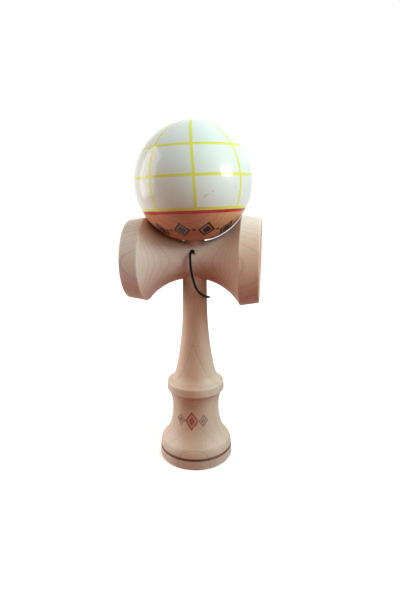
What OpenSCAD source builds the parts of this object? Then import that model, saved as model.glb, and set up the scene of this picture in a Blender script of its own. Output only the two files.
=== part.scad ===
// Cup and ball toy: a turned wooden sword with a cross piece of two cups, a cup under its foot and a
// spike at its top, and a bored ball that sits on the spike, tied to the cross piece by a string.
// Millimetres. Z runs up the sword, X along the cross piece towards the big cup, and the string comes
// out at -Y. The sword's foot stands on z = 0.

/* [Ball] */
// Diameter of the ball
ball_d = 60.5; // [58:0.5:63]
// Diameter of the spike hole
hole_d = 16.5; // [15:0.5:17.5]
// Diameter of the spike hole's bevelled mouth
hole_mouth_d = 18.5; // [17.5:0.5:21]
// Depth of the bevel at the mouth
hole_bevel = 1.25; // [0.75:0.25:2]
// Diameter of the string hole at the top
top_hole_d = 3.2; // [2.6:0.1:4]
// Diameter of the flare that eases the string out of the top hole
top_flare_d = 11; // [8:0.2:12]
// Depth of that flare
top_flare_h = 3.2; // [2.4:0.1:3.6]
// Lean of the ball towards the small cup, in degrees
ball_lean = 1.75; // [0:0.25:5]
// Shift of the seated ball towards the small cup
ball_shift = 0.4; // [0:0.1:1]
// Gap between the seated ball and the cross piece
ball_seat_gap = 0.2; // [0.15:0.05:0.6]

/* [Sword foot] */
// Diameter of the foot at the floor
foot_d = 42.2; // [40:0.2:45]
// Diameter of the foot at the top of its side
foot_top_d = 41; // [38:0.2:43]
// Height of the foot's side
foot_h = 9.3; // [8:0.1:12]
// Radius of the foot's lower edge
foot_round = 1.1; // [0.6:0.1:2]
// Diameter of the cup under the foot, at its mouth
foot_cup_d = 36; // [32:0.2:37]
// Height of the burnt groove above the floor
groove_h = 6; // [4.5:0.1:6.5]
// Width of the burnt groove
groove_w = 1.2; // [0.6:0.1:1.6]
// Depth of the burnt groove
groove_depth = 0.6; // [0.3:0.1:1]

/* [Sword grip] */
// Diameter of the waist above the foot
waist_d = 26.6; // [24:0.2:28]
// Height from the foot's side to the waist
cove_low_h = 21.6; // [19:0.1:24]
// Height from the waist to the ring
cove_top_h = 8.6; // [7:0.1:11]
// Diameter of the ring
ring_d = 32.6; // [31:0.1:35]
// Diameter where the ring rises from the waist
ring_root_d = 29.8; // [28:0.1:30.4]
// Height of the sloping underside of the ring
ring_under_h = 1.5; // [1:0.1:2.4]
// Height of the ring's straight side
ring_h = 3.6; // [3:0.1:5]
// Height of the hollow slope from the ring up to the grip
ring_slope_h = 6.8; // [5.5:0.1:9]
// Diameter of the grip at its foot
grip_foot_d = 22.6; // [20:0.2:24]
// Length of the tapered grip
grip_h = 52.5; // [46:0.5:57]
// How quickly the grip's taper dies away
grip_curve = 2.7; // [2.2:0.1:3.2]

/* [Spike] */
// Diameter of the sword where it enters the cross piece
seat_low_d = 13.2; // [12.4:0.1:14]
// Diameter of the sword where it leaves the cross piece
seat_top_d = 10.8; // [10:0.1:11.6]
// Length of the spike above the cross piece
spike_h = 36; // [32:0.5:38]
// Diameter of the spike's rounded tip
spike_tip_d = 3; // [2:0.1:4]

/* [Cross piece] */
// Length from the waist's middle to the rim of the big cup
big_reach = 35.3; // [33:0.1:38]
// Length from the waist's middle to the rim of the small cup
small_reach = 35.6; // [33:0.1:38]
// Diameter of the waist
cross_waist_d = 19.5; // [18.5:0.25:21]
// Width of the band round the big cup
big_band_w = 10; // [8.5:0.1:11]
// Width of the band round the small cup
small_band_w = 9.8; // [8.5:0.1:11]
// Diameter of the big cup's band at its inner edge
big_band_d = 47.6; // [46:0.1:48.4]
// Diameter of the small cup's band at its inner edge
small_band_d = 45.2; // [44:0.1:46.4]
// Diameter of the big cup's rim
big_rim_d = 44.4; // [43:0.1:45.6]
// Diameter of the small cup's rim
small_rim_d = 42.6; // [41:0.1:43.6]
// Width of the flat lip round both cups
cup_lip = 1.4; // [0.8:0.1:2]
// Radius on the turned edges
edge_round = 0.7; // [0.4:0.05:1]
// Extra radius of all three cups over the ball's
cup_play = 0.5; // [0.2:0.1:1.5]
// Gap round the sword in the cross piece's tapered bore
seat_gap = 0.05; // [0.03:0.01:0.1]

/* [String] */
// Diameter of the string
string_d = 1.3; // [1:0.1:1.8]
// Gap round the string in the holes that it is threaded through
string_gap = 0.55; // [0.3:0.05:0.7]
// Height of the string hole above the cross piece's axis
string_hole_rise = 5.4; // [4:0.1:6]
// Diameter of the knots
knot_d = 4.4; // [3.8:0.1:4.8]
// Gap round the knot in the sword's pocket
pocket_gap = 0.4; // [0.2:0.1:0.6]
// Depth of the pocket past the sword's axis
pocket_past = 1.6; // [1:0.1:2.2]
// Diameter of the bead in the ball
bead_d = 10; // [8:0.2:12]
// Height of the bead
bead_h = 8; // [6:0.2:9]
// Radius on the bead's edges
bead_round = 2.4; // [1:0.1:2.8]
// Gap between the bead and what it bears on
bead_gap = 0.2; // [0.1:0.05:0.4]
// Room between the spike's tip and the knot under the bead
tip_room = 2; // [1:0.25:3]

/* [Hidden] */
$fn = 96;

maple = [0.80, 0.69, 0.57];
lacquer_white = [0.93, 0.94, 0.91];
bead_wood = [0.70, 0.53, 0.36];
string_black = [0.06, 0.08, 0.07];

// Steps in each curved stretch of a turned outline
curve_steps = 14;
round_steps = 5;
// How far a cutter runs past the face that it opens
past = 1;

// Heights up the sword, each stacked on the one below
waist_z = foot_h + cove_low_h;
ring_z = waist_z + cove_top_h;
ring_top_z = ring_z + ring_under_h + ring_h;
grip_z = ring_top_z + ring_slope_h;
seat_z = grip_z + grip_h;
// The seat's taper starts this far under the cross piece and ends as far over it
seat_lead = 1;
cross_z = seat_z + seat_lead + cross_waist_d / 2;
seat_top_z = cross_z + cross_waist_d / 2 + seat_lead;
tip_z = cross_z + cross_waist_d / 2 + spike_h;

// Reaches of the two smooth bends in the sword's outline, as control lengths
foot_shoulder = [-1, 2.4];
cove_hollow = 16.4;
ring_crown = [-1.2, 1.4];
ring_hollow = 4.5;

// Cross piece, along its axis from the waist
big_x = big_reach - big_band_w;
small_x = small_reach - small_band_w;
flare_waist = cross_waist_d / 2;
// Radius of the arc that is upright at the waist and reaches the band's inner edge
function flare_arc(x, band_d) = (x * x + pow(band_d / 2 - flare_waist, 2)) / (band_d - cross_waist_d);
function flare_radius(x, arc) = flare_waist + arc - sqrt(arc * arc - x * x);
big_arc = flare_arc(big_x, big_band_d);
small_arc = flare_arc(small_x, small_band_d);

// Ball: it sinks until its hole's rim or one of the two inner band edges is a seat gap away
ball_r = ball_d / 2;
cup_r = ball_r + cup_play;
mouth_drop = sqrt(ball_r * ball_r - hole_mouth_d * hole_mouth_d / 4);
rim_x = hole_mouth_d / 2 * cos(ball_lean) - mouth_drop * sin(ball_lean);
rim_drop = mouth_drop * cos(ball_lean) + hole_mouth_d / 2 * sin(ball_lean);
function edge_rise(x, band_d) = band_d / 2 + sqrt(pow(ball_r + ball_seat_gap, 2) - x * x);
seat_on_rim = flare_radius(rim_x + ball_shift, small_arc) + rim_drop + ball_seat_gap;
ball_z = cross_z + max(seat_on_rim, edge_rise(big_x + ball_shift, big_band_d),
    edge_rise(small_x - ball_shift, small_band_d));
ball_place = [-ball_shift, 0, ball_z];

// Inside the ball, along its own axis from its centre
knot_z = tip_z - ball_z + tip_room + knot_d / 2;
bead_z = knot_z + knot_d / 2 + bead_gap;
hole_end = bead_z + bead_h + bead_gap;

// String holes
string_hole_d = string_d + 2 * string_gap;
string_hole_z = cross_z + string_hole_rise;
string_exit_y = -sqrt(flare_waist * flare_waist - string_hole_rise * string_hole_rise) - string_gap;
pocket_d = knot_d + 2 * pocket_gap;
sword_knot_y = pocket_past - pocket_gap - knot_d / 2;

// Points of an arc about c, from angle a to angle b
function arc(c, r, a, b) = [for (i = [0:round_steps]) c + r * [cos(a + (b - a) * i / round_steps),
    sin(a + (b - a) * i / round_steps)]];
// Points of the cubic curve from a to d, drawn towards b and c
function bend(a, b, c, d) = [for (i = [0:curve_steps]) let (t = i / curve_steps, s = 1 - t)
    s * s * s * a + 3 * s * s * t * b + 3 * s * t * t * c + t * t * t * d];

// Sword's outline, radius and height, from the foot to the tip
function foot_r(z) = foot_d / 2 + (foot_top_d - foot_d) / 2 * (z - foot_round) / (foot_h - foot_round);
foot_side = concat(
    arc([foot_d / 2 - foot_round, foot_round], foot_round, -90, 0),
    [
        [foot_r(groove_h - groove_w / 2), groove_h - groove_w / 2],
        [foot_r(groove_h) - groove_depth, groove_h],
        [foot_r(groove_h + groove_w / 2), groove_h + groove_w / 2]
    ]);
cove_side = concat(
    bend([foot_top_d / 2, foot_h], [foot_top_d / 2, foot_h] + foot_shoulder,
        [waist_d / 2, waist_z - cove_hollow], [waist_d / 2, waist_z]),
    [for (i = [1:round_steps]) let (t = i / round_steps)
        [waist_d / 2 + (ring_root_d - waist_d) / 2 * t * t, waist_z + cove_top_h * t]]);
ring_side = concat(
    [[ring_d / 2, ring_z + ring_under_h]],
    bend([ring_d / 2, ring_top_z], [ring_d / 2, ring_top_z] + ring_crown,
        [grip_foot_d / 2 + ring_hollow * (grip_foot_d - seat_low_d) / 2 * grip_curve / grip_h,
            grip_z - ring_hollow], [grip_foot_d / 2, grip_z]));
grip_side = [for (i = [1:curve_steps]) let (t = i / curve_steps)
    [(seat_low_d + (grip_foot_d - seat_low_d) * pow(1 - t, grip_curve)) / 2, grip_z + grip_h * t]];
tip_r = spike_tip_d / 2;
spike_slope = atan2(seat_top_d / 2 - tip_r, tip_z - seat_top_z);
spike_side = concat(
    [[seat_top_d / 2, seat_top_z]],
    arc([0, tip_z - tip_r], tip_r, spike_slope, 90));
sword_outline = concat([[0, 0]], foot_side, cove_side, ring_side, grip_side, spike_side);

module sword() {
    color(maple) difference() {
        rotate_extrude() polygon(sword_outline);
        // Cup under the foot
        translate([0, 0, -sqrt(cup_r * cup_r - foot_cup_d * foot_cup_d / 4)]) sphere(r = cup_r);
        // Pocket that holds the string's knot
        translate([0, pocket_past, string_hole_z]) rotate([90, 0, 0])
            cylinder(d = pocket_d, h = pocket_past + seat_low_d);
    }
}

// Cross piece's outline, radius and place along its axis, from the small cup's rim to the big one's
cross_outline = concat(
    [[0, -small_reach]],
    arc([small_rim_d / 2 - edge_round, edge_round - small_reach], edge_round, -90, 0),
    [for (i = [-curve_steps:-1]) let (x = i / curve_steps * small_x) [flare_radius(x, small_arc), x]],
    [for (i = [0:curve_steps]) let (x = i / curve_steps * big_x) [flare_radius(x, big_arc), x]],
    arc([big_rim_d / 2 - edge_round, big_reach - edge_round], edge_round, 0, 90),
    [[0, big_reach]]);

// Ball-shaped cutter of a cup whose mouth has this diameter, opening along +Z at z = 0
module cup_hollow(mouth_d) {
    translate([0, 0, sqrt(cup_r * cup_r - mouth_d * mouth_d / 4)]) sphere(r = cup_r);
}

module cross_piece() {
    seat_rise = seat_top_z - seat_z;
    taper = (seat_low_d - seat_top_d) / 2 / seat_rise;
    bore_past = cross_waist_d / 2;
    color(maple) difference() {
        translate([0, 0, cross_z]) rotate([0, 90, 0]) difference() {
            rotate_extrude() polygon(cross_outline);
            translate([0, 0, big_reach]) cup_hollow(big_rim_d - 2 * edge_round - 2 * cup_lip);
            translate([0, 0, -small_reach]) rotate([180, 0, 0])
                cup_hollow(small_rim_d - 2 * edge_round - 2 * cup_lip);
        }
        // Tapered bore for the sword
        translate([0, 0, seat_z - bore_past]) cylinder(h = seat_rise + 2 * bore_past,
            r1 = seat_low_d / 2 + seat_gap + taper * bore_past,
            r2 = seat_top_d / 2 + seat_gap - taper * bore_past);
        // String hole at the front
        translate([0, 0, string_hole_z]) rotate([90, 0, 0])
            cylinder(d = string_hole_d, h = cross_waist_d);
    }
}

// Puts what is drawn about the ball's centre and axis where the seated ball is
module at_ball() {
    translate(ball_place) rotate([0, -ball_lean, 0]) children();
}

module ball() {
    bevel_slope = (hole_mouth_d - hole_d) / 2 / hole_bevel;
    bevel_past = ball_r - mouth_drop + past;
    flare_slope = (top_flare_d - top_hole_d) / 2 / top_flare_h;
    color(lacquer_white) at_ball() difference() {
        sphere(r = ball_r);
        // Spike hole and its bevelled mouth
        translate([0, 0, -ball_r - past]) cylinder(d = hole_d, h = ball_r + past + hole_end);
        translate([0, 0, -mouth_drop - bevel_past]) cylinder(h = hole_bevel + bevel_past,
            r1 = hole_mouth_d / 2 + bevel_slope * bevel_past, r2 = hole_d / 2);
        // String hole and the flare at its edge
        translate([0, 0, hole_end - past]) cylinder(d = top_hole_d, h = ball_r - hole_end + 2 * past);
        translate([0, 0, ball_r - top_flare_h]) cylinder(h = top_flare_h + past,
            r1 = top_hole_d / 2, r2 = top_hole_d / 2 + flare_slope * (top_flare_h + past));
    }
}

module ball_bead() {
    bead_hole_r = string_d / 2 + string_gap;
    color(bead_wood) at_ball() translate([0, 0, bead_z]) rotate_extrude() polygon(concat(
        [[bead_hole_r, 0]],
        arc([bead_d / 2 - bead_round, bead_round], bead_round, -90, 0),
        arc([bead_d / 2 - bead_round, bead_h - bead_round], bead_round, 0, 90),
        [[bead_hole_r, bead_h]]));
}

// Knot in the sword's pocket, with the string's stretch out through the cross piece
module sword_knot() {
    color(string_black) translate([0, 0, string_hole_z]) {
        translate([0, sword_knot_y, 0]) sphere(d = knot_d);
        translate([0, sword_knot_y, 0]) rotate([90, 0, 0])
            cylinder(d = string_d, h = sword_knot_y - string_exit_y);
    }
}

// Knot under the bead, with the string's stretch up through the bead and out of the ball
string_top = ball_r - top_flare_h;
module bead_knot() {
    color(string_black) at_ball() {
        translate([0, 0, knot_z]) sphere(d = knot_d);
        translate([0, 0, knot_z]) cylinder(d = string_d, h = string_top - knot_z);
    }
}

// Route of the free string: out of the cross piece, down and round the grip, down behind the sword to
// the floor, once round on the floor, then up behind the sword and over the back of the ball
ball_axis = [-sin(ball_lean), 0, cos(ball_lean)];
front_route = [
    [0, string_exit_y, string_hole_z],
    [-0.3, -11.1, 119],
    [-0.2, -12, 116.2],
    [0.3, -12, 110.6],
    [1.4, -11.4, 105],
    [2.5, -10.3, 101.2],
    [4.4, -8.2, 98],
    [6.3, -5.6, 96.2],
    [7.6, -2, 94.9],
    [7.6, 1.6, 93.9],
    [6.1, 5, 93.1],
    [3.4, 7.4, 91.8],
    [0.9, 8.6, 88],
    [-0.4, 9.2, 80],
    [-1, 10.2, 67],
    [-1.5, 13.8, 55],
    [-1.8, 17.6, 47.5],
    [-2, 18.9, 40],
    [-2, 19.4, 26],
    [-2, 21.8, 11],
    [-2, 23.8, 3.6],
    [-1.2, 27, 0.9],
    [0.7, 31.6, 0.8],
    [1, 37.2, 0.8]
];
back_route = [
    [-2.4, 41, 0.8],
    [-6.4, 39.4, 0.9],
    [-7.6, 35, 2.2],
    [-6.8, 31.8, 8],
    [-6, 30.8, 18],
    [-6, 30.8, 60],
    [-6, 30.8, 104],
    [-6, 30.9, 146],
    [-5.8, 30.6, 159],
    [-5.2, 27.4, 170],
    [-4.4, 21.9, 177.5],
    [-3.6, 15.2, 182.4],
    [-2.4, 8.6, 185.1],
    [-1.7, 5, 185.6],
    [-1.4, 2.4, 184.5],
    string_top * ball_axis + ball_place
];
route = concat(front_route, back_route);
ring_gap = 3.5 * string_d;
string_sides = 8;

function unit(v) = v / norm(v);
function route_point(i) = route[max(0, min(len(route) - 1, i))];
// Point a share t of the way from route point i to the next, on a smooth curve through all of them
function smooth_point(i, t) = let (a = route_point(i - 1), b = route_point(i), c = route_point(i + 1),
    d = route_point(i + 2)) (2 * b + (c - a) * t + (2 * a - 5 * b + 4 * c - d) * t * t
    + (3 * b - a - 3 * c + d) * t * t * t) / 2;
function ring_steps(i) = max(1, round(norm(route[i + 1] - route[i]) / ring_gap));
function ring_centres(from, to) = [for (i = [from:to - 1]) for (j = [0:ring_steps(i) - 1])
    smooth_point(i, j / ring_steps(i))];
centres = concat(ring_centres(0, len(route) - 1), [route_point(len(route))]);
front_rings = len(ring_centres(0, len(front_route) - 1));
last_ring = len(centres) - 1;

// Direction of the string at each ring, square to the holes at both ends
function ring_direction(i) = i == 0 ? [0, -1, 0] : i == last_ring ? -ball_axis
    : unit(centres[i + 1] - centres[i - 1]);
function carried(side, direction) = unit(side - (side * direction) * direction);
ring_sides = [for (i = 0, side = [1, 0, 0]; i <= last_ring; i = i + 1,
    side = i <= last_ring ? carried(side, ring_direction(i)) : side) side];
function ring_points(i) = let (side = ring_sides[i], other = cross(ring_direction(i), side))
    [for (k = [0:string_sides - 1]) let (a = 360 * k / string_sides)
        centres[i] + string_d / 2 * (cos(a) * side + sin(a) * other)];

// The string between two rings
module string_tube(from, to) {
    n = string_sides;
    rows = to - from;
    points = [for (i = [from:to]) each ring_points(i)];
    walls = [for (i = [0:rows - 1]) for (k = [0:n - 1]) let (a = i * n + k, b = i * n + (k + 1) % n)
        each [[a, a + n, b], [b, a + n, b + n]]];
    polyhedron(points, concat(
        walls,
        [[for (k = [0:n - 1]) k]],
        [[for (k = [n - 1:-1:0]) rows * n + k]]));
}

module string_front() {
    color(string_black) string_tube(0, front_rings);
}

module string_back() {
    color(string_black) string_tube(front_rings, last_ring);
}

sword();
cross_piece();
ball();
ball_bead();
sword_knot();
bead_knot();
string_front();
string_back();
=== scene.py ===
import math
import bpy
import numpy as np
from mathutils import Matrix


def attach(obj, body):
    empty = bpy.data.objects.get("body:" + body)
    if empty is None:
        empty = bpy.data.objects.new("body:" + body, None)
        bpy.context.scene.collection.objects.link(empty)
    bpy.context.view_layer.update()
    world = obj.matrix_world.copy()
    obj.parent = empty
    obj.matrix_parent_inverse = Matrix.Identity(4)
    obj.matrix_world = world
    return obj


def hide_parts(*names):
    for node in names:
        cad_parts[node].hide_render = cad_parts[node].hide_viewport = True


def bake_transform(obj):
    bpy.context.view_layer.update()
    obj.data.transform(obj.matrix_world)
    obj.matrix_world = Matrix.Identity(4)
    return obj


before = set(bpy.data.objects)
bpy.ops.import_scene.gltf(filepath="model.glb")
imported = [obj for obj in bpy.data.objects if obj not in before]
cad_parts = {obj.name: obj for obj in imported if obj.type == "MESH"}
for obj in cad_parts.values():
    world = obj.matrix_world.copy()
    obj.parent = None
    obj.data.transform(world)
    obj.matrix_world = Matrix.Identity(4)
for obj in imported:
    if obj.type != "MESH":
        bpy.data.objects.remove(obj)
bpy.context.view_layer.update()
bpy.context.scene.view_settings.view_transform = "Standard"

# Camera: it stands in front of the toy and a little to its right, looks slightly down on it, and frames
# it as the photograph does. The picture is upright, so the sensor's width lies along the picture's height.
camera_place = (0.03993, -0.22653, 0.14719)
camera_turn, camera_tilt, camera_roll = 9.3, 76.6, -0.34
camera_data = bpy.data.cameras.new("camera")
camera_data.sensor_width = 36
camera_data.lens = 25.68
camera_data.clip_start = 0.01
camera = bpy.data.objects.new("camera", camera_data)
camera.matrix_world = (Matrix.Translation(camera_place)
                       @ Matrix.Rotation(math.radians(camera_turn), 4, "Z")
                       @ Matrix.Rotation(math.radians(camera_tilt), 4, "X")
                       @ Matrix.Rotation(math.radians(camera_roll), 4, "Z"))
bpy.context.scene.collection.objects.link(camera)
bpy.context.scene.camera = camera

# String: a thin black nylon braid. It comes out of the hole in the cross piece's front, goes round the
# grip and down behind the sword to the floor, and then up and over the back of the ball to its top hole.
MM = 0.001
string_d = 1.3
ball_centre = np.array((-0.4, 0, 154.881))
ball_lean = math.radians(1.75)
ball_axis = np.array((-math.sin(ball_lean), 0, math.cos(ball_lean)))
# Height of the front hole, place of the ball's hole up the ball's axis, and how far the string goes into it
string_hole_z, string_top, string_tuck = 120.05, 27.05, 3
string_route = [
    (0, -6, string_hole_z), (0, -8.668, string_hole_z), (-0.3, -11.1, 119), (-0.2, -12, 116.2),
    (0.3, -12, 110.6), (1.4, -11.4, 105), (2.5, -10.3, 101.2), (4.4, -8.2, 98), (6.3, -5.6, 96.2),
    (7.6, -2, 94.9), (7.6, 1.6, 93.9), (6.1, 5, 93.1), (3.4, 7.4, 91.8), (0.9, 8.6, 88), (-0.4, 9.2, 80),
    (-1, 10.2, 67), (-1.5, 13.8, 55), (-1.8, 17.6, 47.5), (-2, 18.9, 40), (-2, 19.4, 26),
    (-2, 21.8, 11), (-2, 23.8, 3.6), (-1.2, 27, 0.9), (0.7, 31.6, 0.8), (1, 37.2, 0.8),
    (-2.4, 41, 0.8), (-6.4, 39.4, 0.9), (-7.6, 35, 2.2), (-6.8, 31.8, 8), (-6, 30.8, 18),
    (-6, 30.8, 60), (-6, 30.8, 104), (-6, 30.9, 146), (-5.8, 30.6, 159), (-5.2, 27.4, 170),
    (-4.4, 21.9, 177.5), (-3.6, 15.2, 182.4), (-2.4, 8.6, 185.1), (-1.7, 5, 185.6), (-1.4, 2.4, 184.5),
    *(ball_centre + ball_axis * (string_top - inside) for inside in (0, string_tuck)),
]
string_gap = 0.25


def smooth_line(points, gap):
    """Points about a gap apart on a smooth curve through the given ones."""
    points = np.array(points, float)
    ends = np.concatenate([points[:1], points, points[-1:]])
    line = []
    for a, b, c, d in zip(ends, ends[1:], ends[2:], ends[3:]):
        steps = max(1, round(np.linalg.norm(c - b) / gap))
        for t in np.arange(steps) / steps:
            line.append((2 * b + (c - a) * t + (2 * a - 5 * b + 4 * c - d) * t ** 2
                         + (3 * b - a - 3 * c + d) * t ** 3) / 2)
    return np.array(line + [points[-1]])


def add_piece(name, points, faces, finish, place=Matrix.Identity(4)):
    """A smooth mesh object from points in millimetres, with one material."""
    mesh = bpy.data.meshes.new(name)
    mesh.from_pydata((np.asarray(points) * MM).tolist(), [], faces)
    mesh.polygons.foreach_set("use_smooth", [True] * len(mesh.polygons))
    mesh.materials.append(finish)
    piece = bpy.data.objects.new(name, mesh)
    piece.matrix_world = place
    bpy.context.scene.collection.objects.link(piece)
    return piece


def set_field(piece, name, values):
    """Stores one number for each point of a piece's mesh, for its material to read."""
    store = piece.data.attributes.new(name, "FLOAT", "POINT")
    store.data.foreach_set("value", np.asarray(values, np.float32))


def braid(name, line, finish):
    """A tube along a line whose surface is eight strands, four each way, crossing as in a round braid."""
    sides, strands, lay, strand_relief = 16, 4, 7.0, 0.11
    off_line = (0.3, 0.5, 0.8)
    ahead = np.gradient(line, axis=0)
    ahead /= np.linalg.norm(ahead, axis=1)[:, None]
    run = np.concatenate([[0], np.cumsum(np.linalg.norm(np.diff(line, axis=0), axis=1))])
    side = np.cross(ahead[0], off_line)
    angle = np.arange(sides) / sides * 2 * math.pi
    points, ridges = [], []
    for centre, direction, along in zip(line, ahead, run / lay * 2 * math.pi):
        side = side - side.dot(direction) * direction
        side /= np.linalg.norm(side)
        other = np.cross(direction, side)
        one_way, other_way = np.cos(strands * (angle - along)), np.cos(strands * (angle + along))
        ridge = np.maximum(one_way, other_way) / 2 + 0.5
        reach = string_d / 2 * (1 - strand_relief + strand_relief * ridge)
        points.append(centre + reach[:, None] * (np.cos(angle)[:, None] * side
                                                 + np.sin(angle)[:, None] * other))
        ridges.append(ridge)
    last = (len(line) - 1) * sides
    faces = [tuple(range(sides - 1, -1, -1)), tuple(range(last, last + sides))]
    for row in range(0, last, sides):
        for k in range(sides):
            after = (k + 1) % sides
            faces.append((row + k, row + after, row + sides + after, row + sides + k))
    piece = add_piece(name, np.concatenate(points), faces, finish)
    set_field(piece, "ridge", np.concatenate(ridges))
    return piece


class Field:
    """A number, vector or colour that varies over a surface. Sums with it add the nodes that make them."""

    def __init__(self, finish, socket):
        self.finish, self.socket = finish, socket

    def math(self, operation, *others):
        """What one of Blender's sums makes of this field and others."""
        return self.finish.node("Math", dict(enumerate((self, *others))), operation=operation)

    def __add__(self, other):
        return self.math("ADD", other)

    def __sub__(self, other):
        return self.math("SUBTRACT", other)

    def __rsub__(self, other):
        return self.math("MULTIPLY_ADD", -1.0, other)

    def __mul__(self, other):
        return self.math("MULTIPLY", other)

    def __truediv__(self, other):
        return self.math("DIVIDE", other)

    def __abs__(self):
        return self.math("ABSOLUTE")

    def ramp(self, low, high):
        """0 up to low, 1 from high on, and smooth between them."""
        return self.finish.node("MapRange", {0: self, 1: low, 2: high}, interpolation_type="SMOOTHSTEP")

    def within(self, reach, blur):
        """1 closer to zero than reach, and 0 beyond it, over a blurred edge."""
        return 1 - abs(self).ramp(reach - blur, reach + blur)


class Nodes:
    """A node tree, with short ways to add the fields that a surface or a sky is made of."""

    def __init__(self, tree):
        self.tree = tree

    def node(self, kind, inputs=(), output=0, **settings):
        """Adds a node with its settings and inputs, and gives one of its outputs."""
        node = self.tree.nodes.new("ShaderNode" + kind)
        for name, value in settings.items():
            setattr(node, name, value)
        for key, value in dict(inputs).items():
            self.put(node.inputs[key], value)
        return Field(self, node.outputs[output])

    def put(self, socket, value):
        """Links a field to a socket, or sets a plain value on it."""
        if isinstance(value, Field):
            self.tree.links.new(value.socket, socket)
        else:
            socket.default_value = value

    def noise(self, x, y, z, detail=2.0, roughness=0.5):
        """Cloudy noise, 0 to 1, over three coordinates that set its scale."""
        vector = self.node("CombineXYZ", {0: x, 1: y, 2: z})
        return self.node("TexNoise", {"Vector": vector, "Scale": 1.0, "Detail": detail,
                                      "Roughness": roughness})

    def even_noise(self, place, scale, detail=2.0):
        """Noise of the same scale in all three directions."""
        return self.noise(*(part * scale for part in place), detail=detail)

    def mix(self, amount, under, over, way="MIX"):
        """A colour laid over another by an amount."""
        return self.node("Mix", {0: amount, 6: under, 7: over}, output=2, data_type="RGBA", blend_type=way)

    def tint(self, amount, colour, factors):
        """A colour whose red, green and blue are multiplied by factors, by an amount."""
        return self.mix(amount, colour, factors, "MULTIPLY")


class Finish(Nodes):
    """A material's nodes with its shader."""

    def __init__(self, name):
        self.material = bpy.data.materials.new(name)
        self.material.use_nodes = True
        super().__init__(self.material.node_tree)
        self.shader = self.tree.nodes["Principled BSDF"]

    def set(self, **values):
        """Sets the shader's inputs, with _ for a space in a name."""
        for name, value in values.items():
            self.put(self.shader.inputs[name.replace("_", " ")], value)

    def place(self):
        """The three coordinates on the piece itself, in millimetres."""
        metres = self.node("TexCoord", output=3)
        point = self.node("VectorMath", {0: metres, "Scale": 1 / MM}, operation="SCALE")
        return [self.node("SeparateXYZ", {0: point}, output=k) for k in range(3)]

    def stored(self, name):
        """The numbers that set_field put on the piece's points."""
        return self.node("Attribute", output=2, attribute_name=name)

    def relief(self, height, depth):
        """Bump from a height of 0 to 1 that stands for a real depth in millimetres."""
        self.set(Normal=self.node("Bump", {"Height": height, "Distance": depth * MM, "Strength": 1.0}))


def paint(red, green, blue):
    """A colour given as it shows on screen, 0 to 255, for a shader."""
    scaled = [c / 255 for c in (red, green, blue)]
    return (*[c / 12.92 if c < 0.04045 else ((c + 0.055) / 1.055) ** 2.4 for c in scaled], 1.0)


def black_nylon():
    """Dull black nylon whose strand crowns are greyer: partly wear, partly a painted sheen, with painted
    shade left in the crevices between the strands.
    """
    finish = Finish("black_nylon_braid")
    nylon, rubbed_sheen_nylon = paint(7, 10, 9), paint(22, 33, 28)
    fuzz = finish.even_noise(finish.place(), 9, detail=3)
    worn_and_sheen = finish.stored("ridge").ramp(0.6, 1.0) * fuzz.ramp(0.35, 0.7)
    finish.set(Base_Color=finish.mix(worn_and_sheen, nylon, rubbed_sheen_nylon),
               Roughness=fuzz * 0.25 + 0.4, Specular_IOR_Level=0.1)
    finish.relief(fuzz, depth=0.05)
    return finish.material


string_finish = black_nylon()
string_line = smooth_line(string_route, string_gap)
string = braid("string", string_line, string_finish)
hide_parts("string_front", "string_back")
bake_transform(string)

# Knots: the string's two ends, tied off as overhand knots. One sits in the sword's pocket behind the
# cross piece, and the other under the bead inside the ball, each with its tail towards the free string.
knot_size, knot_gap = 0.45, 0.3
sword_knot_y, sword_tail = -1, 5.6
bead_knot_up, bead_tail = 9.719, 15.2


def knot_line(centre, out, tail):
    """The tail's line from the free string into a pulled-up overhand knot, and the short end past it."""
    off_line, straight = (0.0, 0.6, 0.8), tail * 0.6 + 1.2
    side = np.cross(out, off_line)
    side /= np.linalg.norm(side)
    other = np.cross(out, side)
    loop_start, loop_end, loop_points = -0.9, 2 * math.pi - 1.5, 40
    turn = np.linspace(loop_start, loop_end, loop_points)
    loops = np.stack([np.sin(turn) + 2 * np.sin(2 * turn), np.cos(turn) - 2 * np.cos(2 * turn),
                      -np.sin(3 * turn)], 1) * knot_size
    knot = centre + loops @ np.stack([side, other, out])
    return smooth_line([centre + out * tail, centre + out * straight, *knot], knot_gap)


to_front = np.array((0.0, -1.0, 0.0))
sword_knot_line = knot_line(np.array((0, sword_knot_y, string_hole_z)), to_front, sword_tail)
sword_knot = braid("sword_knot_tied", sword_knot_line, string_finish)
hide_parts("sword_knot")
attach(sword_knot, "sword")
bead_knot_line = knot_line(ball_centre + ball_axis * bead_knot_up, ball_axis, bead_tail)
bead_knot = braid("bead_knot_tied", bead_knot_line, string_finish)
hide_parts("bead_knot")
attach(bead_knot, "bead")

# Sword: one piece of maple, turned and sanded, with a cup under its foot, a ring under the grip and a
# spike at the top. A groove is burnt round the foot and a small mark is burnt into the hollow above it.
foot_low_r, foot_top_r, foot_h, foot_round = 21.1, 20.5, 9.3, 1.1
shoulder_r, shoulder_z = 19.3, 11.4
cup_r, foot_cup_mouth = 30.75, 18.0
groove_z, groove_half, groove_depth = 6.0, 0.6, 0.6
waist_r, waist_z, ring_root_r, ring_z = 13.3, 30.9, 14.9, 39.5
ring_r, ring_low_z, ring_top_r, ring_top_z = 16.3, 41.2, 16.0, 45.5
grip_r, grip_z, grip_h, grip_curve = 11.3, 51.4, 52.5, 2.7
seat_low_r, seat_z, seat_top_r, seat_top_z = 6.6, 103.9, 5.4, 125.4
tip_r, tip_z = 1.5, 160.4
lathe_sides = 160
# How far each curve is drawn in or out, up and down from its two ends before it turns away
shoulder_out, shoulder_in, shoulder_pull = 0.1, 0.4, 0.9
cove_in, cove_up, cove_down = 2.4, 2.6, 12.3
crown_in, crown_up, crown_down = 1, 1.2, 4.5


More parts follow.
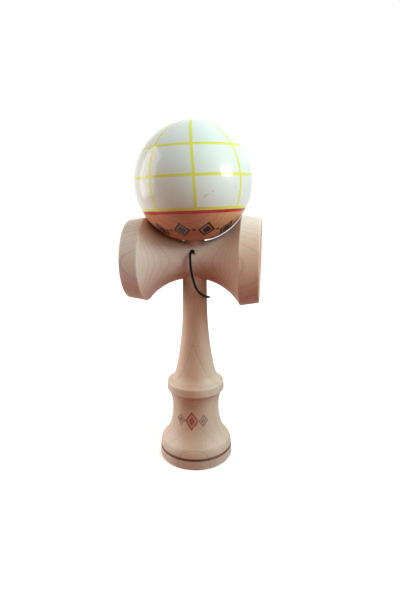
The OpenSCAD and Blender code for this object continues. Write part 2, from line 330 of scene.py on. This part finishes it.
def bend(a, b, c, d, steps=28):
    """The smooth curve from a to d that is drawn towards b and c."""
    a, b, c, d = (np.array(p, float) for p in (a, b, c, d))
    curve = []
    for t in np.linspace(0, 1, steps + 1):
        s = 1 - t
        curve.append(s ** 3 * a + 3 * s * s * t * b + 3 * s * t * t * c + t ** 3 * d)
    return curve


def arc(centre, radius, start, end, steps=8):
    """Points of a circular arc, with angles in degrees from the outward direction."""
    return [np.array(centre) + radius * np.array((math.cos(a), math.sin(a)))
            for a in np.radians(np.linspace(start, end, steps + 1))]


def cup_arc(mouth, steps=36):
    """A cup's hollow from its middle to its mouth, as radius and depth below the mouth."""
    drop = math.sqrt(cup_r ** 2 - mouth ** 2)
    return [(cup_r * math.sin(a), cup_r * math.cos(a) - drop)
            for a in np.linspace(0, math.asin(mouth / cup_r), steps + 1)]


def eased(before, corner, after, reach=0.35):
    """A corner sanded over, between the points before and after it."""
    corner = np.array(corner, float)
    first, last = (corner + (np.array(p) - corner) / np.linalg.norm(np.array(p) - corner) * reach
                   for p in (before, after))
    return [(1 - t) ** 2 * first + 2 * t * (1 - t) * corner + t * t * last for t in np.linspace(0, 1, 5)]


def turned(name, outline, finish, looped=False, place=Matrix.Identity(4)):
    """A piece turned from an outline of radius and height. Its edge field marks outward corners."""
    longest, on_axis, edge_reach, full_edge = 1.2, 1e-6, 0.9, math.radians(50)
    fine = []
    for a, b in zip(outline, [*outline[1:], outline[0]] if looped else outline[1:]):
        steps = max(1, math.ceil(math.dist(a, b) / longest))
        fine += [np.array(a) + (np.array(b) - np.array(a)) * k / steps for k in range(steps)]
    if not looped:
        fine.append(np.array(outline[-1]))
    fine = np.array(fine)
    around = np.arange(lathe_sides) / lathe_sides * 2 * math.pi
    points, rows = [], []
    for radius, height in fine:
        count = 1 if radius < on_axis else lathe_sides
        rows.append((len(points), count))
        points += [(radius * math.cos(a), radius * math.sin(a), height) for a in around[:count]]
    faces = []
    for (low, low_count), (high, high_count) in zip(rows, [*rows[1:], rows[0]] if looped else rows[1:]):
        for k in range(lathe_sides):
            after = (k + 1) % lathe_sides
            corners = [low + k % low_count, low + after % low_count,
                       high + after % high_count, high + k % high_count]
            faces.append(tuple(dict.fromkeys(corners)))
    piece = add_piece(name, points, faces, finish, place)
    before, beyond = (fine[-1:], fine[:1]) if looped else (fine[:1], fine[-1:])
    step = np.diff(np.concatenate([before, fine, beyond]), axis=0)
    bearing = np.arctan2(step[:, 1], step[:, 0])
    turn = (np.diff(bearing) + math.pi) % (2 * math.pi) - math.pi
    if not looped:
        turn[[0, -1]] = 0
    edge = []
    for point, (_, count) in zip(fine, rows):
        near = np.linalg.norm(fine - point, axis=1) < edge_reach
        edge.append(np.full(count, np.clip(turn[near].sum() / full_edge, 0, 1)))
    set_field(piece, "edge", np.concatenate(edge))
    return piece


def cut(piece, *cutters):
    """Bores the cutters' shapes out of a piece and removes the cutters."""
    for cutter in cutters:
        bore = piece.modifiers.new("bore", "BOOLEAN")
        bore.object, bore.solver = cutter, "EXACT"
    scene_now = bpy.context.evaluated_depsgraph_get()
    bored = bpy.data.meshes.new_from_object(piece.evaluated_get(scene_now))
    piece.modifiers.clear()
    piece.data = bored
    for cutter in cutters:
        bpy.data.objects.remove(cutter)


def drill(points, finish, place):
    """A cutter turned from an outline, for boring out of a piece."""
    return turned("drill", [(0, points[0][1]), *points, (0, points[-1][1])], finish, place=place)


def crisp(piece, angle=38):
    """Keeps the shading smooth except over corners sharper than the angle."""
    piece.data.polygons.foreach_set("use_smooth", [True] * len(piece.data.polygons))
    piece.data.set_sharp_from_angle(angle=math.radians(angle))


def span(a, b):
    """The straight distance that two distances at right angles make."""
    return (a * a + b * b).math("SQRT")


def maple_grain(finish, along, across, through, layer_gap, first_layer, line_width, line_depth, end_way):
    """Bare maple: a year's growth between thin dark lines, fibres, flecks and darker end grain.
    Gives its colour, its roughness and the height of its relief."""
    pale, warm, dark = paint(219, 194, 174), paint(213, 184, 162), paint(135, 93, 68)
    end_brown, rubbed_and_lit = paint(158, 119, 90), paint(226, 215, 197)
    pith = 110.0

    def drawn_out(lengthwise, crosswise, **kind):
        """Noise at one scale along the grain and another across it."""
        return finish.noise(along * lengthwise, across * crosswise, through * crosswise, **kind)

    sway = (drawn_out(0.02, 0.06) - 0.5) * 1.2
    ripple = (drawn_out(0.09, 0.5) - 0.5) * 0.2
    layers = (span(pith - through, across) - pith + sway + ripple - first_layer) / layer_gap
    season, year = layers.math("FRACT"), layers.math("FLOOR")
    strong = finish.node("TexWhiteNoise", {"W": year}, noise_dimensions="1D") * 0.5 + 0.5
    late = season.ramp(0.3, 1.0)
    line = 1 - ((1 - season) * layer_gap).ramp(line_width * 0.4, line_width * 1.6)
    fibre = drawn_out(0.035, 1.5, detail=5, roughness=0.62)
    fleck = drawn_out(0.28, 3.6).ramp(0.63, 0.74)
    cloud = drawn_out(0.018, 0.05)
    normal = finish.node("TexCoord", output=1)
    end_grain = abs(finish.node("SeparateXYZ", {0: normal}, output=end_way)).ramp(0.6, 1.0)
    colour = finish.mix(cloud.ramp(0.35, 0.65), pale, warm)
    colour = finish.mix((late * 0.3 + line) * strong * line_depth, colour, dark)
    colour = finish.mix(fibre.ramp(0.42, 0.8) * 0.16 + fleck * 0.12, colour, dark)
    colour = finish.mix(end_grain * 0.2, colour, end_brown)
    # Outward corners are paler: partly wear, partly a painted highlight where they catch the light
    colour = finish.mix(finish.stored("edge") * 0.25, colour, rubbed_and_lit)
    roughness = fibre * 0.3 + 0.4
    height = fibre * 0.7 + line * 0.15 - fleck * 0.25
    return colour, roughness, height


def painted_light_and_shade(finish, colour, lit_share, painted_light_tint, painted_shade_tint):
    """A colour tinted with painted light where that field is 1, and with painted shade where it is 0."""
    colour = finish.tint(lit_share, colour, painted_light_tint)
    return finish.tint(1 - lit_share, colour, painted_shade_tint)


def burnt_maple():
    """The sword's maple, with its grain upright and the groove and the mark burnt in."""
    finish = Finish("sword_maple")
    scorched, charred = paint(150, 92, 56), paint(82, 35, 14)
    mark_brown, mark_grey = paint(158, 68, 36), paint(118, 92, 76)
    x, y, z = finish.place()
    # On the grip the layers dip beside the middle, so that they meet the front in a pointed figure
    tilt, dip, dip_half, dip_end_z = 0.08, 1.1, 2.0, grip_z + 3
    aside = x * x
    dipped = aside / (aside + dip_half ** 2) * z.ramp(ring_top_z, dip_end_z) * dip
    colour, roughness, height = maple_grain(finish, z, x + y * tilt, y - x * tilt + dipped, layer_gap=5.6,
                                            first_layer=2.7, line_width=0.15, line_depth=0.38, end_way=2)
    # Painted light and shade: paler towards the sides, where the light falls on them, and redder down the
    # middle, which lies in shade
    colour = painted_light_and_shade(finish, colour, abs(x).ramp(1, 10), painted_light_tint=(1.0, 1.12, 1.14, 1.0),
                       painted_shade_tint=(0.96, 0.89, 0.83, 1.0))
    # The groove is burnt black by friction and scorches the wood beside it
    burn_half, burn_soft, scorch_half, scorch_soft = groove_half + 0.1, 0.25, 1.1, 0.7
    outside = span(x, y).ramp(foot_top_r - 1.2, foot_top_r - 0.6)
    off_groove = z - groove_z
    scorch = off_groove.within(scorch_half, scorch_soft) * outside
    burn = off_groove.within(burn_half, burn_soft) * outside
    colour = finish.mix(scorch * 0.35, colour, scorched)
    colour = finish.mix(burn * 0.95, colour, charred)
    # Mark of a brown lozenge between two smaller grey ones, burnt in at the front of the hollow
    # Its lozenge field is 1 at a lozenge's edge, and a thin gap sets the middle off
    mark_z, side_x = 26.0, 6.3
    patchy = finish.noise(x * 0.9, y * 0.9, z * 0.25, detail=3).ramp(0.25, 0.55)
    up, out, front = abs(z - mark_z), abs(x), (y * -1.0).ramp(0.0, 1.0)
    for middle, half_wide, half_high, ink, depth in ((0.0, 3.9, 5.6, mark_brown, 0.6),
                                                     (side_x, 2.5, 3.6, mark_grey, 0.45)):
        lozenge = abs(out - middle) / half_wide + up / half_high
        burnt = (1 - lozenge.ramp(0.94, 1.06)) * (1 - (lozenge - 0.6).within(0.08, 0.05))
        colour = finish.mix(burnt * front * (patchy * 0.35 + depth), colour, ink)
    finish.set(Base_Color=colour, Roughness=roughness, Specular_IOR_Level=0.28)
    finish.relief(height, depth=0.03)
    return finish.material


def foot_side(z):
    """A point of the foot's slightly tapered side, as radius and height."""
    return foot_low_r + (foot_top_r - foot_low_r) * (z - foot_round) / (foot_h - foot_round), z


groove_low, groove_top = foot_side(groove_z - groove_half), foot_side(groove_z + groove_half)
groove_floor = (foot_side(groove_z)[0] - groove_depth, groove_z)
shoulder = bend(groove_top, (foot_top_r + shoulder_out, foot_h - shoulder_pull),
                (foot_top_r - shoulder_in, foot_h + shoulder_pull), (shoulder_r, shoulder_z), steps=12)
cove = bend((shoulder_r, shoulder_z), (shoulder_r - cove_in, shoulder_z + cove_up),
            (waist_r, waist_z - cove_down), (waist_r, waist_z))
grip_slope = (grip_r - seat_low_r) * grip_curve / grip_h
ring_crown = bend((ring_top_r, ring_top_z), (ring_top_r - crown_in, ring_top_z + crown_up),
                  (grip_r + crown_down * grip_slope, grip_z - crown_down), (grip_r, grip_z))
spike_slope = math.degrees(math.atan2(seat_top_r - tip_r, tip_z - seat_top_z))
ring_root, ring_low, ring_top = (ring_root_r, ring_z), (ring_r, ring_low_z), (ring_top_r, ring_top_z)
inside_cup, below_ring = (foot_cup_mouth - 0.4, 0.3), (ring_root_r - 0.15, ring_z - 0.8)
sword_outline = [
    *cup_arc(foot_cup_mouth)[:-1],
    *eased(inside_cup, (foot_cup_mouth, 0), (foot_low_r - foot_round, 0), reach=0.25),
    *arc((foot_low_r - foot_round, foot_round), foot_round, -90, 0),
    *eased((foot_low_r, foot_round), groove_low, groove_floor, reach=0.15),
    *eased(groove_low, groove_floor, groove_top, reach=0.2),
    *eased(groove_floor, groove_top, shoulder[1], reach=0.15),
    *shoulder[1:-1],
    *eased(shoulder[-2], cove[0], cove[1]),
    *cove[2:],
    *[(waist_r + (ring_root_r - waist_r) * t * t, waist_z + (ring_z - waist_z) * t)
      for t in np.linspace(0.1, 0.9, 9)],
    *eased(below_ring, ring_root, ring_low, reach=0.3),
    *eased(ring_root, ring_low, ring_top),
    *eased(ring_low, ring_top, ring_crown[1], reach=0.3),
    *ring_crown[2:],
    *[(seat_low_r + (grip_r - seat_low_r) * (1 - t) ** grip_curve, grip_z + grip_h * t)
      for t in np.linspace(0, 1, 45)[1:]],
    (seat_top_r, seat_top_z),
    *arc((0, tip_z - tip_r), tip_r, spike_slope, 90)[:-1],
    (0, tip_z),
]
sword_finish = burnt_maple()
sword = turned("sword_turned", sword_outline, sword_finish)
# Pocket for the string's knot, bored in from the front where the cross piece covers it
pocket_r, pocket_floor_y, pocket_front = 2.6, 1.6, 14
from_front = Matrix.Translation((0, 0, string_hole_z * MM)) @ Matrix.Rotation(math.radians(90), 4, "X")
cut(sword, drill([(pocket_r, -pocket_floor_y), (pocket_r, pocket_front)], sword_finish, from_front))
crisp(sword)
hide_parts("sword")
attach(sword, "sword")

# Cross piece: one piece of maple turned on its long axis, with a big cup on the right and a small cup on
# the left. It is pushed down onto the sword's taper, and the string comes out of a hole in its front.
cross_z, cross_waist_r = 114.65, 9.75
big_reach, big_band_x, big_band_r, big_rim_r, big_mouth = 35.3, 25.3, 23.8, 22.2, 20.1
small_reach, small_band_x, small_band_r, small_rim_r, small_mouth = 35.6, 25.8, 22.6, 21.3, 19.2
rim_round = 0.7
seat_gap, bore_past = 0.05, 10.0
string_hole_r, hole_mouth_y, hole_bevel = 1.2, 8.1, 0.5


def flare(band_x, band_r, steps=40):
    """The hollow side from the waist to a cup's band, as radius and distance along the axis."""
    rise = band_r - cross_waist_r
    radius = (band_x ** 2 + rise ** 2) / (2 * rise)
    return [(cross_waist_r + radius - math.sqrt(radius ** 2 - x * x), x)
            for x in np.linspace(0, band_x, steps + 1)]


def cup_end(reach, band_x, band_r, rim_r, mouth):
    """One end's outline from its waist to the middle of its cup."""
    side = flare(band_x, band_r)
    hollow = [(r, reach - depth) for r, depth in reversed(cup_arc(mouth))]
    return [
        *side[:-1],
        *eased(side[-2], side[-1], (rim_r, reach - rim_round), reach=0.45),
        *arc((rim_r - rim_round, reach - rim_round), rim_round, 0, 90),
        *eased((rim_r - rim_round, reach), (mouth, reach), hollow[1], reach=0.25),
        *hollow[1:],
    ]


def bare_maple():
    """The cross piece's maple, with its grain along the piece."""
    finish = Finish("cross_piece_maple")
    x, y, z = finish.place()
    colour, roughness, height = maple_grain(finish, x, z - cross_z, y, layer_gap=1.9, first_layer=10.2,
                                            line_width=0.25, line_depth=0.22, end_way=0)
    # Painted light and shade: paler at the top and towards the left, where the light falls, and redder lower
    # down, in shade
    lit_slope = 0.6
    lit_share = (z - cross_z - x * lit_slope).ramp(-20, 14)
    colour = painted_light_and_shade(finish, colour, lit_share, painted_light_tint=(1.16, 1.42, 1.6, 1.0),
                       painted_shade_tint=(0.95, 0.84, 0.80, 1.0))
    finish.set(Base_Color=colour, Roughness=roughness, Specular_IOR_Level=0.28)
    finish.relief(height, depth=0.03)
    return finish.material


small_end = cup_end(small_reach, small_band_x, small_band_r, small_rim_r, small_mouth)
big_end = cup_end(big_reach, big_band_x, big_band_r, big_rim_r, big_mouth)
cross_outline = [(r, -x) for r, x in reversed(small_end)] + big_end[1:]
cross_finish = bare_maple()
cross_piece = turned("cross_piece_turned", cross_outline, cross_finish)
lay_along_x = Matrix.Translation((0, 0, cross_z * MM)) @ Matrix.Rotation(math.radians(90), 4, "Y")
cross_piece.data.transform(lay_along_x)
taper = (seat_low_r - seat_top_r) / (seat_top_z - seat_z) * bore_past
seat_bore = [(seat_low_r + seat_gap + taper, seat_z - bore_past),
             (seat_top_r + seat_gap - taper, seat_top_z + bore_past)]
string_bore = [(string_hole_r, 0), (string_hole_r, hole_mouth_y - hole_bevel),
               (string_hole_r + hole_bevel, hole_mouth_y), (string_hole_r + hole_bevel + 1, hole_mouth_y + 1)]
cut(cross_piece,
    drill(seat_bore, cross_finish, Matrix.Identity(4)),
    drill(string_bore, cross_finish, from_front))
crisp(cross_piece)
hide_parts("cross_piece")
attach(cross_piece, "sword")

# Ball: a turned wooden ball bored for the spike, with a small flared hole for the string at its top. It is
# lacquered white with a grid of thin yellow lines down to a red line, and clear-coated below that.
ball_r = 30.25
spike_hole_r, spike_mouth_r, spike_bevel = 8.25, 9.25, 1.25
bead_seat = 20.319
top_hole_r, top_flare_r, top_flare_h = 1.6, 5.5, 3.2
# Heights are measured up the ball's skin from its middle, and the lines were masked by hand
line_heights, line_half, line_soft = (17.3, 2.55), 0.72, 0.09
low_line, low_line_half, red_line, red_half, paint_end = -13.2, 0.8, -14.85, 0.9, -15.7
meridian_starts, meridian_gap = (math.radians(-79.4), math.radians(-31.9)), math.radians(90)
meridian_twist = 0.03


def yellow_grid(height, turn, ring, wobble):
    """1 on the yellow lines: three round the ball, and two sets of four that run down from its top."""
    yellow = (height - low_line).within(low_line_half, line_soft)
    for level in line_heights:
        yellow = yellow.math("MAXIMUM", (height - level).within(line_half, line_soft))
    twisted = turn + height * (meridian_twist / ball_r)
    above = height.ramp(low_line - line_soft, low_line + line_soft)
    for start in meridian_starts:
        # Share of the way round to the nearest line of this set, from -0.5 to 0.5
        share = ((twisted - start) / meridian_gap + 0.5).math("FRACT") - 0.5
        aside = share * ring * meridian_gap + wobble
        yellow = yellow.math("MAXIMUM", aside.within(line_half, line_soft) * above)
    return yellow


def scuffed(finish, colour, height, turn, ring):
    """The lacquer's colour with a few small grey scuffs in it."""
    scuff_grey = paint(120, 122, 120)
    # Each scuff has a place round the ball, a height, a length, a half width and a slope
    scuffs = ((-1.2, -7.0, 3.0, 0.16, 0.6), (-1.096, -5.0, 0.7, 0.3, 0.2), (-2.4, 9.0, 1.6, 0.12, -0.5),
              (0.9, 6.0, 2.2, 0.12, 0.4), (2.2, -5.0, 1.8, 0.12, -0.9))
    for place, level, length, half_width, slope in scuffs:
        wide, tall = (turn - place) * ring, height - level
        run = wide * math.cos(slope) + tall * math.sin(slope)
        rise = tall * math.cos(slope) - wide * math.sin(slope)
        scuff = run.within(length / 2, 0.3) * rise.within(half_width, 0.1)
        colour = finish.mix(scuff * 0.55, colour, scuff_grey)
    return colour


def printed_ring(height, turn, ring):
    """1 on a ring of printed lozenges with dots between them."""
    motifs, motif_shift, motif_height, motif_half_wide, motif_half_high = 10, 0.25, -26.0, 4.6, 5.6
    dot_r, dot_soft = 0.9, 0.1
    motif_gap = 2 * math.pi / motifs
    spot = (turn / motif_gap + motif_shift).math("FRACT") - 0.5
    wide = abs(spot) * ring * motif_gap
    tall = abs(height - motif_height)
    # The lozenge field is 1 at the lozenge's edge, and a thin gap sets its middle off
    lozenge = wide / motif_half_wide + tall / motif_half_high
    printed = (1 - lozenge.ramp(0.94, 1.04)) * (1 - (lozenge - 0.62).within(0.06, 0.04))
    dot = span(wide - ring * (motif_gap / 2), tall)
    return printed.math("MAXIMUM", dot.within(dot_r, dot_soft))


def ball_wood(finish, x, y, z):
    """Wood warmer than the maple, with its grain along x and its layers facing y."""
    warm_tint = paint(246, 196, 166)
    colour, roughness, height = maple_grain(finish, x, z, y, layer_gap=2.6, first_layer=4.0,
                                            line_width=0.3, line_depth=0.3, end_way=0)
    return finish.tint(1.0, colour, warm_tint), roughness, height


def ball_lacquer():
    """Gloss lacquer with its lines, clear-coated printed wood below it, and bare wood in the holes."""
    finish = Finish("ball_lacquer")
    white, shaded_white = paint(225, 236, 229), paint(221, 232, 225)
    line_yellow, line_red, print_black = paint(222, 226, 62), paint(190, 18, 24), paint(24, 19, 17)
    bored_pale, bored_dark = paint(196, 158, 118), paint(150, 108, 76)
    place = finish.place()
    x, y, z = place
    ring = span(x, y)
    reach = span(ring, z)
    turn = y.math("ARCTAN2", x)
    wobble = (finish.even_noise(place, 0.35) - 0.5) * 0.25
    height = (z / reach).math("ARCSINE") * ball_r + wobble
    yellow = yellow_grid(height, turn, ring, wobble)
    red = (height - red_line).within(red_half, line_soft)
    bare = 1 - height.ramp(paint_end - line_soft, paint_end + line_soft)
    inside = 1 - reach.ramp(ball_r - 0.35, ball_r - 0.15)
    colour = finish.mix(finish.even_noise(place, 0.05).ramp(0.3, 0.7), white, shaded_white)
    cover = finish.even_noise(place, 0.5).ramp(0.2, 0.5) * 0.12 + 0.8
    colour = finish.mix(yellow * cover, colour, line_yellow)
    colour = finish.mix(red, colour, line_red)
    colour = scuffed(finish, colour, height, turn, ring)
    wood, _, wood_relief = ball_wood(finish, x, y, z)
    # Painted light: the bare wood is paler towards the right, where the light falls
    painted_light_tint = (1.22, 1.6, 1.6, 1.0)
    wood = finish.tint(x.ramp(3, 20), wood, painted_light_tint)
    wood = finish.mix(printed_ring(height, turn, ring) * 0.96, wood, print_black)
    colour = finish.mix(bare, colour, wood)
    colour = finish.mix(inside, colour, finish.mix(wood_relief * 0.4, bored_pale, bored_dark))
    peel = finish.even_noise(place, 0.55)
    finish.set(Base_Color=colour, Roughness=inside * 0.3 + 0.3, Coat_Weight=(1 - inside) * (0.4 - bare * 0.2),
               Coat_Roughness=0.02, Specular_IOR_Level=0.12)
    finish.relief(peel * 0.5 + yellow * 0.5 + red * 0.5 + wood_relief * inside, depth=0.02)
    return finish.material


# The flare is a cone from the string hole, and it meets the ball's skin at flare_edge
flare_slope = (top_flare_r - top_hole_r) / top_flare_h
slope_square = 1 + flare_slope ** 2
cone_r = top_hole_r - flare_slope * string_top
flare_z = (math.sqrt(ball_r ** 2 * slope_square - cone_r ** 2) - cone_r * flare_slope) / slope_square
flare_edge, flare_root = (cone_r + flare_slope * flare_z, flare_z), (top_hole_r, string_top)
mouth_z = -math.sqrt(ball_r ** 2 - spike_mouth_r ** 2)
skin_low, skin_top = (math.degrees(math.asin(z / ball_r)) for z in (mouth_z, flare_z))
skin = arc((0, 0), ball_r, skin_low, skin_top, steps=110)
up_bevel = (spike_mouth_r - 1, mouth_z + 1)
ball_outline = [
    *eased(up_bevel, skin[0], skin[1], reach=0.4),
    *skin[1:-1],
    *eased(skin[-2], flare_edge, flare_root, reach=0.3),
    *eased(flare_edge, flare_root, (top_hole_r, bead_seat), reach=0.5),
    (top_hole_r, bead_seat),
    (spike_hole_r, bead_seat),
    *eased((spike_hole_r, 0), (spike_hole_r, mouth_z + spike_bevel), (spike_mouth_r, mouth_z), reach=0.4),
]
ball_place = Matrix.Translation(tuple(ball_centre * MM)) @ Matrix.Rotation(-ball_lean, 4, "Y")
ball = turned("ball_turned", ball_outline, ball_lacquer(), looped=True, place=ball_place)
crisp(ball)
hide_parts("ball")
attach(ball, "ball")

# Bead: a small turned wooden bead, loose in the top of the ball's hole. The string goes through it and is
# knotted under it, so the bead holds the string in the ball.
bead_low, bead_h, bead_r, bead_round, bead_hole_r = 12.119, 8.0, 5.0, 2.4, 1.2
bead_top, bead_flat_r = bead_low + bead_h, bead_r - bead_round


def bead_wood():
    """Bare wood like the ball's, with its grain along the bead's hole."""
    finish = Finish("bead_wood")
    x, y, z = finish.place()
    colour, roughness, height = ball_wood(finish, z, x, y)
    finish.set(Base_Color=colour, Roughness=roughness)
    finish.relief(height, depth=0.03)
    return finish.material


bead_outline = [
    *arc((bead_flat_r, bead_low + bead_round), bead_round, -90, 0, steps=12),
    *arc((bead_flat_r, bead_top - bead_round), bead_round, 0, 90, steps=12),
    *eased((bead_flat_r, bead_top), (bead_hole_r, bead_top), (bead_hole_r, bead_low), reach=0.3),
    *eased((bead_hole_r, bead_top), (bead_hole_r, bead_low), (bead_flat_r, bead_low), reach=0.3),
]
bead = turned("bead_turned", bead_outline, bead_wood(), looped=True, place=ball_place)
crisp(bead)
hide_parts("ball_bead")
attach(bead, "bead")

# Floor and light: the toy stands on a plain white sheet among soft lamps. The strongest is cool and high
# on the right, and those low down are warmer. A window and a pale wall are seen only as shine on the toy.
floor_r, floor_sides, white_from = 1.5, 96, 0.35


def seen_directly(nodes):
    """1 for what the camera sees, straight, in a gloss or through glass, and 0 for scattered light."""
    path = nodes.tree.nodes.new("ShaderNodeLightPath")
    rays = [Field(nodes, path.outputs[ray])
            for ray in ("Is Camera Ray", "Is Glossy Ray", "Is Transmission Ray")]
    return rays[0].math("MAXIMUM", rays[1]).math("MAXIMUM", rays[2])


def white_sheet():
    """A sheet that shows white but for the toy's shadow, and throws only a little warm light back."""
    finish = Finish("white_sheet")
    sheet_shade, sheet_white, thrown_back = paint(232, 232, 232), paint(236, 236, 236), paint(144, 60, 36)
    seen = seen_directly(finish)
    x, y, z = finish.place()
    weave = finish.noise(x * 0.2, y * 0.2, z, detail=3)
    far = span(x, y).ramp(white_from / MM * 0.5, white_from / MM)
    sheet = finish.mix(weave, sheet_shade, sheet_white)
    finish.set(Base_Color=finish.mix(seen, thrown_back, sheet), Roughness=0.9, Specular_IOR_Level=0.1,
               Emission_Color=(1, 1, 1, 1), Emission_Strength=seen * (far * 0.6 + 0.45))
    return finish.material


floor_edge = [(floor_r / MM * math.cos(a), floor_r / MM * math.sin(a), 0)
              for a in np.linspace(0, 2 * math.pi, floor_sides, endpoint=False)]
floor = add_piece("floor", floor_edge, [tuple(range(floor_sides))], white_sheet())


def area_light(name, place, aim, size, radiance, colour):
    """A rectangular soft light of that width and height, in metres, turned to face a point."""
    data = bpy.data.lights.new(name, "AREA")
    data.shape = "RECTANGLE"
    data.size, data.size_y = size
    data.energy = radiance * math.pi * size[0] * size[1]
    data.color = colour
    light = bpy.data.objects.new(name, data)
    bpy.context.scene.collection.objects.link(light)
    away = np.array(place) - np.array(aim)
    flat = math.hypot(away[0], away[1])
    light.location = place
    light.rotation_euler = (math.atan2(flat, away[2]), 0, math.atan2(away[0], -away[1]))
    return light


toy_middle, ball_middle = (0, 0, 0.12), (0, 0, 0.155)
# Each lamp has a name, a place, the length of its sides, a radiance and a colour
lamps = (
    ("right_lamp", (0.30, -0.12, 0.38), 0.25, 7.6, (0.72, 0.94, 1.0)),
    ("front_lamp", (0.20, -0.25, 0.36), 0.25, 1.4, (1.0, 0.85, 0.7)),
    ("low_lamp", (0.16, -0.10, 0.16), 0.10, 1.8, (1.0, 0.86, 0.72)),
    ("left_lamp", (-0.35, 0.0, 0.20), 0.25, 3.5, (0.97, 0.98, 1.0)),
    ("left_low_lamp", (-0.30, -0.02, 0.10), 0.20, 2.8, (1.0, 0.9, 0.8)),
    ("back_lamp", (0.0, 0.30, 0.40), 0.25, 3.8, (1.0, 1.0, 1.0)),
    ("top_lamp", (0.0, 0.0, 0.50), 0.25, 0.8, (1.0, 1.0, 1.0)),
)
for name, place, side, radiance, colour in lamps:
    lamp = area_light(name, place, toy_middle, (side, side), radiance, colour)
    lamp.visible_glossy = False
# Seen only as shine: a window on the right and a pale wall on the left
soft_white = (1.0, 1.0, 0.98)
window = area_light("window", (0.464, -0.116, 0.301), ball_middle, (0.20, 0.14), 32.0, soft_white)
left_wall = area_light("left_wall", (-0.6, -0.02, 0.35), (0, -0.02, 0.35), (0.5, 0.7), 3.6, soft_white)
for shine in (window, left_wall):
    shine.visible_diffuse = False

# The sky gives only a faint warm glow, and shows as white
world = bpy.data.worlds.new("daylight")
world.use_nodes = True
bpy.context.scene.world = world
sky = Nodes(world.node_tree)
glow = sky.node("Background", {"Color": (0.08, 0.03, 0.01, 1), "Strength": 1.0})
white_sky = sky.node("Background", {"Color": (1, 1, 1, 1), "Strength": 1.0})
shown = sky.node("MixShader", {0: seen_directly(sky), 1: glow, 2: white_sky})
sky.put(sky.tree.nodes["World Output"].inputs["Surface"], shown)
